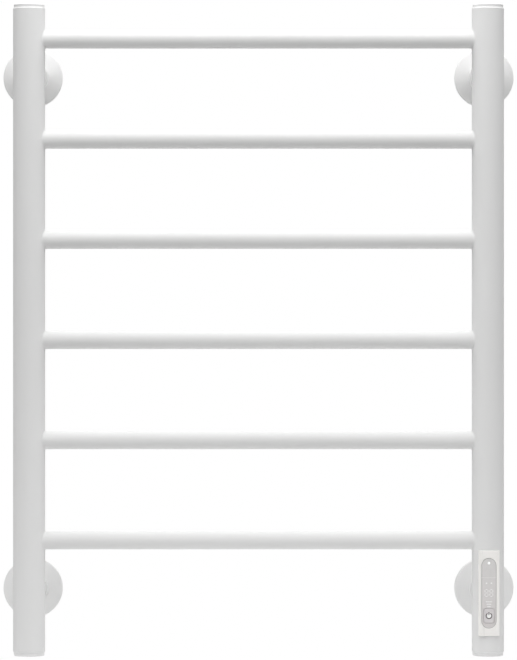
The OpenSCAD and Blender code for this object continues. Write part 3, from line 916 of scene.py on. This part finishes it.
class RACK_OT_power_key(bpy.types.Operator):
    """Make the power key with its ring-and-bar mark"""

    bl_idname = "towel_rack.power_key"
    bl_label = "Power key"

    def execute(self, context):
        low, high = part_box("power_key")
        place = Matrix.Translation(((low.x + high.x) / 2, 0, (low.z + high.z) / 2))
        self.make_key(place, low, high)
        self.make_mark(place, low.y)
        self.make_field(place, low.y)
        finish_nodes(["switch_plunger"])
        return {"FINISHED"}

    def make_key(self, place, low, high):
        """The key with its rounded front and the flange that holds it behind the lens."""
        flange = 0.7 * MM
        flange_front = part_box("control_lens")[1].y + 0.2 * MM
        corner = 2.2 * MM
        edge_round = 0.35 * MM
        width = high.x - low.x
        height = high.z - low.z
        bm = bmesh.new()
        rounded_plate(bm, width - 2 * flange, height - 2 * flange, corner, flange_front, low.y)
        bmesh.ops.recalc_face_normals(bm, faces=bm.faces)
        round_edges(bm, edges_at(bm, low.y), edge_round)
        rounded_plate(bm, width, height, corner, high.y, flange_front)
        piece(
            "rounded_power_key", bm, place, "key", finish_for("key_plastic"), ["power_key"])

    def make_mark(self, place, face):
        """The open ring and the bar in its gap, printed on the face of the key."""
        half_gap = math.radians(30)
        front = face - INK
        bm = bmesh.new()
        corners = [
            bm.verts.new((MARK_RING + side * MARK_STROKE, y, 0)) for side, y in
            ((-1, face), (1, face), (1, front), (-1, front))
        ]
        section = bm.faces.new(corners)
        start = Matrix.Rotation(-(math.pi / 2 + half_gap), 4, "Y")
        bmesh.ops.transform(bm, verts=corners, matrix=start)
        bmesh.ops.spin(
            bm, geom=[section], cent=(0, 0, 0), axis=(0, 1, 0), dvec=(0, 0, 0),
            angle=-(math.tau - 2 * half_gap), steps=56, use_merge=False, use_duplicate=False)
        verts = rounded_plate(bm, 2 * MARK_STROKE, 2.8 * MM, INK_ROUND, face, front, 3)
        bmesh.ops.translate(bm, verts=verts, vec=(0, 0, 2.3 * MM))
        piece("power_mark", bm, place, "key", finish_for("mark_ink"))

    def make_field(self, place, face):
        """A pale disc inside the ring, thinner than the bar that crosses it."""
        field = 2 * (MARK_RING - MARK_STROKE)
        bm = bmesh.new()
        rounded_plate(bm, field, field, 0.49 * field, face, face - INK / 2, 12)
        piece("power_mark_field", bm, place, "key", finish_for("field_ink"))


class RACK_OT_inner_parts(bpy.types.Operator):
    """Finish the cable, the leads and the parts inside the control"""

    bl_idname = "towel_rack.inner_parts"
    bl_label = "Inner parts"

    def execute(self, context):
        finish_nodes([
            "heating_cable", "cable_end_seal", "cold_lead_splice", "cold_lead", "thermal_cutout",
            "temperature_sensor", "sensor_lead", "earth_stud", "earth_ring", "earth_nut", "earth_lead",
            "terminal_block", "terminal_screws", "terminal_pins", "control_housing", "control_gasket",
            "control_board", "board_screws", "push_switch", "relay", "capacitor",
        ])
        return {"FINISHED"}


# How bright the sky is, by the sine of the elevation
SKY = ((-0.3, 0), (-0.2, 0.28), (0.2, 0.3), (0.46, 0.3), (0.54, 1.95), (0.77, 1.95), (0.83, 0))


class RACK_OT_stage(bpy.types.Operator):
    """Set the camera, the soft lights, the sky and a pale floor that fades out"""

    bl_idname = "towel_rack.stage"
    bl_label = "Stage"

    def execute(self, context):
        stage = context.scene.rack_stage
        low, high = CAD_BOX
        centre = (low + high) / 2
        self.add_camera(context, stage, centre)
        self.add_floor(context, low.z - stage.floor_drop)
        overhead = (0, -0.25, high.z + 0.75)
        in_front = (0, -0.5, 0.72)
        self.add_light(context, "top_light", stage.top_light, (1.5, 1.2), overhead, tilt=0)
        self.add_light(context, "front_light", stage.front_light, (1.3, 0.3), in_front, tilt=38)
        self.add_sky(context, stage.sky)
        context.scene.view_settings.view_transform = "Standard"
        return {"FINISHED"}

    def add_camera(self, context, stage, centre):
        """A level camera in front of the rack, far enough away to take in the picture height."""
        camera = bpy.data.cameras.new("camera")
        camera.lens = stage.focal_length
        distance = stage.picture_height * camera.lens / camera.sensor_width
        made = bpy.data.objects.new("camera", camera)
        made.location = (centre.x, centre_of("left_post").y - distance, centre.z)
        made.rotation_euler = (math.pi / 2, 0, 0)
        context.scene.collection.objects.link(made)
        context.scene.camera = made

    def add_light(self, context, name, power, size, location, tilt):
        """A soft light that faces down, or forward towards the rack by a tilt in degrees."""
        light = bpy.data.lights.new(name, "AREA")
        light.shape = "RECTANGLE"
        light.size, light.size_y = size
        light.energy = power
        made = bpy.data.objects.new(name, light)
        made.location = location
        made.rotation_euler = (math.radians(tilt), 0, 0)
        context.scene.collection.objects.link(made)

    def add_floor(self, context, height):
        """A round floor whose material turns clear towards its edge."""
        solid_radius = 0.7
        clear_radius = 1.598
        radius = 1.7
        bm = bmesh.new()
        bmesh.ops.create_circle(bm, cap_ends=True, radius=radius, segments=96)
        mesh = bpy.data.meshes.new("floor")
        bm.to_mesh(mesh)
        bm.free()
        floor = bpy.data.objects.new("floor", mesh)
        floor.location = (0, 0, height)
        context.scene.collection.objects.link(floor)
        finish = Finish("floor", roughness=0.8, specular=0.1)
        finish.shader.inputs["Base Color"].default_value = (0.86, 0.86, 0.86, 1)
        length = finish.nodes.new("ShaderNodeVectorMath")
        length.operation = "LENGTH"
        finish.links.new(finish.place, length.inputs[0])
        fade = finish.spread(length.outputs["Value"], 1, 0, solid_radius, clear_radius)
        finish.links.new(fade, finish.shader.inputs["Alpha"])
        mesh.materials.append(finish.material)

    def add_sky(self, context, strength):
        """A pale horizon and a bright ceiling, the same all round, and white where the camera sees it."""
        world = bpy.data.worlds.new("studio")
        context.scene.world = world
        world.use_nodes = True
        nodes, links = world.node_tree.nodes, world.node_tree.links
        background = nodes["Background"]
        split = nodes.new("ShaderNodeSeparateXYZ")
        links.new(nodes.new("ShaderNodeTexCoord").outputs["Generated"], split.inputs["Vector"])
        rise = nodes.new("ShaderNodeMapRange")
        rise.inputs["From Min"].default_value = -1
        links.new(split.outputs["Z"], rise.inputs["Value"])
        ramp = nodes.new("ShaderNodeValToRGB")
        links.new(rise.outputs["Result"], ramp.inputs["Fac"])
        stops = ramp.color_ramp.elements
        stops.remove(stops[1])
        stops[0].color = (0, 0, 0, 1)
        # a ramp holds colours up to 1, so it holds a part of the brightness
        part = 1 / 4
        for sine, brightness in SKY:
            stop = stops.new((sine + 1) / 2)
            stop.color = (brightness * part, brightness * part, brightness * part, 1)
        whole = nodes.new("ShaderNodeMath")
        whole.operation = "MULTIPLY"
        whole.inputs[1].default_value = strength / part
        links.new(ramp.outputs["Color"], whole.inputs[0])
        seen = nodes.new("ShaderNodeMix")
        links.new(nodes.new("ShaderNodeLightPath").outputs["Is Camera Ray"], seen.inputs["Factor"])
        links.new(whole.outputs["Value"], seen.inputs["A"])
        seen.inputs["B"].default_value = 1.0
        links.new(seen.outputs["Result"], background.inputs["Strength"])
        background.inputs["Color"].default_value = (1, 1, 1, 1)


class RACK_PT_panel(bpy.types.Panel):
    """Lists the rack's settings and its operators"""

    bl_label = "Towel Rack"
    bl_idname = "RACK_PT_panel"
    bl_space_type = "VIEW_3D"
    bl_region_type = "UI"
    bl_category = "Towel Rack"

    def draw(self, context):
        scene = context.scene
        for settings in (scene.rack_shape, scene.rack_colours, scene.rack_stage):
            box = self.layout.box()
            for name in settings.__annotations__:
                box.prop(settings, name)
        for operator in OPERATORS:
            self.layout.operator(operator.bl_idname)


SETTINGS = {"rack_shape": RackShape, "rack_colours": RackColours, "rack_stage": RackStage}
OPERATORS = (
    RACK_OT_posts, RACK_OT_rungs, RACK_OT_end_caps, RACK_OT_legs, RACK_OT_rosettes, RACK_OT_wall_bases,
    RACK_OT_control_bezel, RACK_OT_control_lens, RACK_OT_power_key, RACK_OT_inner_parts, RACK_OT_stage,
)


def register():
    """Registers the settings, the operators and the panel."""
    for name, group in SETTINGS.items():
        bpy.utils.register_class(group)
        setattr(bpy.types.Scene, name, PointerProperty(type=group))
    for operator in OPERATORS:
        bpy.utils.register_class(operator)
    bpy.utils.register_class(RACK_PT_panel)


def unregister():
    """Takes everything out again."""
    bpy.utils.unregister_class(RACK_PT_panel)
    for operator in reversed(OPERATORS):
        bpy.utils.unregister_class(operator)
    for name, group in SETTINGS.items():
        delattr(bpy.types.Scene, name)
        bpy.utils.unregister_class(group)


def main():
    """Makes every piece and the stage, in order."""
    register()
    bpy.ops.towel_rack.posts()
    bpy.ops.towel_rack.rungs()
    bpy.ops.towel_rack.end_caps()
    bpy.ops.towel_rack.legs()
    bpy.ops.towel_rack.rosettes()
    bpy.ops.towel_rack.wall_bases()
    bpy.ops.towel_rack.control_bezel()
    bpy.ops.towel_rack.control_lens()
    bpy.ops.towel_rack.power_key()
    bpy.ops.towel_rack.inner_parts()
    bpy.ops.towel_rack.stage()


if __name__ == "__main__":
    main()
